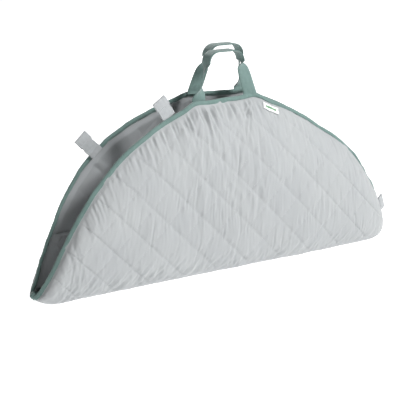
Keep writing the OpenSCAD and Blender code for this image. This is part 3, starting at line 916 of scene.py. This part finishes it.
# side, place round the rim, slant and tilt, in degrees
TABS = {"front": (FRONT, 70.5, -14, 0), "back": (BACK, 51.5, -2, 0), "right": (BACK, 169, 0, 25)}
TAB_W, TAB_T, TAB_L, TAB_HEM, TAB_ROOT = 0.030, 0.0020, 0.040, 0.020, 0.0045
HEM_Z = TAB_L - TAB_HEM
SEWN_ROWS = (0.0030, 0.0150, HEM_Z + 0.0028, TAB_L - 0.0030)
SEWN_SIDE = 0.41                     # the upright rows of stitches, as a share of the width
DENT, DENT_W = 0.0009, 0.0007        # how deep and wide the stitches press the webbing in
TAB_START, OVER_START = -0.004, -0.011   # where a strap starts, in the binding or down over it
OVER_OUT = 0.0050                    # how far a strap sewn over the binding stands off to pass it
HALF_SECTION = [(a, -0.5) for a in (-0.5, -0.44, -0.41, -0.38, -0.2, 0, 0.2, 0.38, 0.41, 0.44, 0.5)]
TAB_SECTION = HALF_SECTION + [(-a, 0.5) for a, _ in HALF_SECTION]
HOOK_IN = 0.002                      # how far the hook patch stays inside the strap's sides
HOOK_GRID = (15, 11)                 # points across the patch and up it


def turned(a, b, angle):
    """Two square directions, turned in their own plane."""
    return a * math.cos(angle) + b * math.sin(angle), b * math.cos(angle) - a * math.sin(angle)


def tab_frame(side, degrees, slant, tilt):
    """A tab's root on the rim, and its directions along the rim, up the strap, out of its hem's
    face, and up from the rim."""
    a = np.array([math.radians(degrees)])
    t = unit(rim_point(side, a + 0.009) - rim_point(side, a - 0.009))[0]
    along = unit(np.array([t[0], 0, t[2]]))
    rim_up = up = np.array([-along[2], 0, along[0]])
    root = rim_point(side, a)[0] + up * TAB_ROOT
    along, up = turned(along, up, -math.radians(slant))
    up, back = turned(up, np.array([0.0, 1.0, 0.0]), math.radians(tilt))
    return root, along, up, -back, rim_up


def tab_sway(z):
    """How far the strap's middle stands off its plane; the hem, twice as thick, stands further."""
    return 0.0012 * math.sin(z / TAB_L * 3.0) + (TAB_T / 2 if z > HEM_Z - 1e-6 else 0)


def tab_rings(root, along, up, out, over):
    """Rings of a strap from the binding to its folded end, pressed in along its stitches, and
    each ring's place up the strap."""
    rows = np.concatenate([np.linspace(OVER_START if over else TAB_START, HEM_Z - 0.0004, 34),
                           np.linspace(HEM_Z, TAB_L, 32)])
    rings = []
    for z in rows:
        hem = z > HEM_Z - 1e-6
        pressed = max(math.exp(-((z - q) / DENT_W) ** 2) for q in SEWN_ROWS)
        box = 1.0 if SEWN_ROWS[-2] < z < SEWN_ROWS[-1] or SEWN_ROWS[0] < z < SEWN_ROWS[1] else 0.0
        thick = (2 * TAB_T if hem else TAB_T) * (smooth(TAB_L, TAB_L - 0.0015, z) * 0.6 + 0.4)
        sway = tab_sway(z) + (OVER_OUT * float(smooth(0.0065, 0.0005, z)) if over else 0)
        waist = 1.0 if hem else 0.97 - 0.07 * math.exp(-((z - 0.0155) / 0.004) ** 2)
        ring = []
        for a, b in TAB_SECTION:
            sewn = max(pressed * (abs(a) < 0.43), box * (abs(abs(a) - SEWN_SIDE) < 0.01))
            ring.append(root + up * z + out * sway
                        + along * a * TAB_W * waist + out * b * (thick - DENT * sewn))
        rings.append(ring)
    return np.array(rings), rows


def hook_patch(name, root, along, up, out):
    """The thin crowned patch of hooks on the strap's inner face."""
    us, vs = np.linspace(-1, 1, HOOK_GRID[0]), np.linspace(0, 1, HOOK_GRID[1])
    top, bottom = [], []
    for u in us:
        for v in vs:
            z = HEM_Z + 0.001 + v * (TAB_HEM - 0.003)
            edge = max(0.0, 1 - max(abs(u), abs(2 * v - 1)) ** 8)
            at = root + up * z + along * u * (TAB_W / 2 - HOOK_IN)
            top.append(at - out * (0.0012 + 0.0009 * edge))
            bottom.append(at - out * 0.0009)
    uv = np.stack(np.meshgrid(us * 0.013, vs * 0.017, indexing="ij"), -1).reshape(-1, 2)
    verts, uv = np.array(top + bottom), np.concatenate([uv] * 2)
    return new_mesh(name, verts, plate_faces(*HOOK_GRID), hook_cloth, uv)


for name, (side, *angles) in TABS.items():
    root, along, up, out, rim_up = tab_frame(side, *angles)
    # the back strap is sewn over the inner face of the binding, the others into the binding
    rings, rows = tab_rings(root, along, up, out, over=name == "back")
    width_at = np.array([a * TAB_W for a, _ in TAB_SECTION])
    uv = np.stack(np.broadcast_arrays(width_at[None], rows[:, None]), -1)
    faces = tube_faces(len(rows), len(TAB_SECTION), flip_caps=True)
    strap = new_mesh(name + "_tab", rings, faces, tab_cloth, uv)
    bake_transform(strap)
    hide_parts(name + "_tab_strap")
    lines, norms = [], []
    for face in (-1, 1):
        for z in SEWN_ROWS[2:]:
            xs = np.linspace(-TAB_W * 0.42, TAB_W * 0.42, 20)
            off = face * 0.00160 + tab_sway(z)
            lines.append(np.array([root + up * z + along * q + out * off for q in xs]))
            norms.append(np.array([out * face for _ in xs]))
    thread = stitches(name + "_tab_stitches", lines, norms, TAB_STITCH, pale_thread)
    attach(thread, name + "_tab")
    hook = hook_patch(name + "_tab_hook_patch", root, along, up, out)
    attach(hook, name + "_tab")
    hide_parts(name + "_tab_hook")

# ---------------------------------------------------------------- label

LABEL_X, LABEL_L, LABEL_H, LABEL_IN = 0.1055, 0.042, 0.0145, 0.0155
LABEL_TOP, LABEL_UNDER = 0.0021, 0.0014   # heights of its two faces above the cover
MARK_COLS, MARK_ROWS = (7, 35), (5, 8)    # first and last faces of its plain green bar
nu, nv = 43, 15
us, vs = np.linspace(-0.5, 0.5, nu), np.linspace(0, 1, nv)
uu, vv = np.meshgrid(us, vs, indexing="ij")
near_x = LABEL_X + np.array([-0.015, 0.0, 0.015])
total = cloth_length(FRONT, near_x)
slope = math.atan2(total[2] - total[0], near_x[2] - near_x[0])
down = LABEL_IN + LABEL_H * (1 - vv)
xs = LABEL_X + LABEL_L * uu * math.cos(slope) + down * math.sin(slope)
q, n = surface(FRONT, xs, total[1] + LABEL_L * uu * math.sin(slope) - down * math.cos(slope))
soften(q, 12, axes=(0, 1))
n = unit(n.mean((0, 1)))
face = q + n * LABEL_TOP
verts = np.concatenate([face.reshape(-1, 3), (q + n * LABEL_UNDER).reshape(-1, 3)])
green = [i for i, f in enumerate(grid_faces(nu, nv))
         if MARK_COLS[0] <= f[0] // nv <= MARK_COLS[1] and MARK_ROWS[0] <= f[0] % nv <= MARK_ROWS[1]]
uv = np.concatenate([np.stack([uu * LABEL_L, vv * LABEL_H], -1).reshape(-1, 2)] * 2)
label = new_mesh("sewn_label", verts, plate_faces(nu, nv), label_cloth, uv, label_mark, green)
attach(label, "front_half")
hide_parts("name_label")
thread = stitches("label_stitches", [face[1], face[-2]], [np.tile(n, (nv, 1))] * 2,
                  LABEL_STITCH, pale_thread)
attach(thread, "front_half")

# ---------------------------------------------------------------- floor and light

FLOOR = 14                           # half the floor's width
floor_material = bpy.data.materials.new("floor")
floor_material.use_nodes = True
floor_shader = floor_material.node_tree.nodes["Principled BSDF"]
for socket, value in (("Base Color", (0.5, 0.5, 0.5, 1)), ("Roughness", 0.9),
                      ("Emission Color", (1, 1, 1, 1)), ("Emission Strength", 0.97)):
    floor_shader.inputs[socket].default_value = value
corners = [(x * FLOOR, y * FLOOR, 0) for x, y in ((-1, -1), (1, -1), (1, 1), (-1, 1))]
floor = new_mesh("floor", corners, [(0, 1, 2, 3)], floor_material)

# a dim studio whose walls are pale where they meet the floor
world = bpy.data.worlds.new("studio")
world.use_nodes = True
world_nodes, world_link = world.node_tree.nodes, world.node_tree.links.new
background = world_nodes["Background"]
background.inputs["Color"].default_value = (1, 1, 1, 1)
where = world_nodes.new("ShaderNodeTexCoord")
height = world_nodes.new("ShaderNodeSeparateXYZ")
fade = world_nodes.new("ShaderNodeMapRange")
for socket, value in (("From Min", 0.10), ("From Max", 0.22), ("To Min", 1.0), ("To Max", 0.03)):
    fade.inputs[socket].default_value = value
world_link(where.outputs["Generated"], height.inputs["Vector"])
world_link(height.outputs["Z"], fade.inputs["Value"])
world_link(fade.outputs["Result"], background.inputs["Strength"])
bpy.context.scene.world = world
bpy.context.scene.view_settings.view_transform = "Standard"
LIT = Vector((0, 0, 0.2))


def area_light(name, place, power, size):
    """A square lamp aimed at the middle of the mat."""
    data = bpy.data.lights.new(name, "AREA")
    data.energy, data.size = power, size
    light = bpy.data.objects.new(name, data)
    bpy.context.scene.collection.objects.link(light)
    light.location = place
    light.rotation_mode = "QUATERNION"
    light.rotation_quaternion = (LIT - Vector(place)).to_track_quat("-Z", "Y")


area_light("key", (1.5, -2.4, 3.0), 156, 0.7)
area_light("top", (1.5, -0.8, 3.2), 18, 1.0)
area_light("left", (-2.6, -2.3, 1.3), 5, 1.0)
area_light("behind", (1.3, 3.0, 1.9), 50, 1.2)
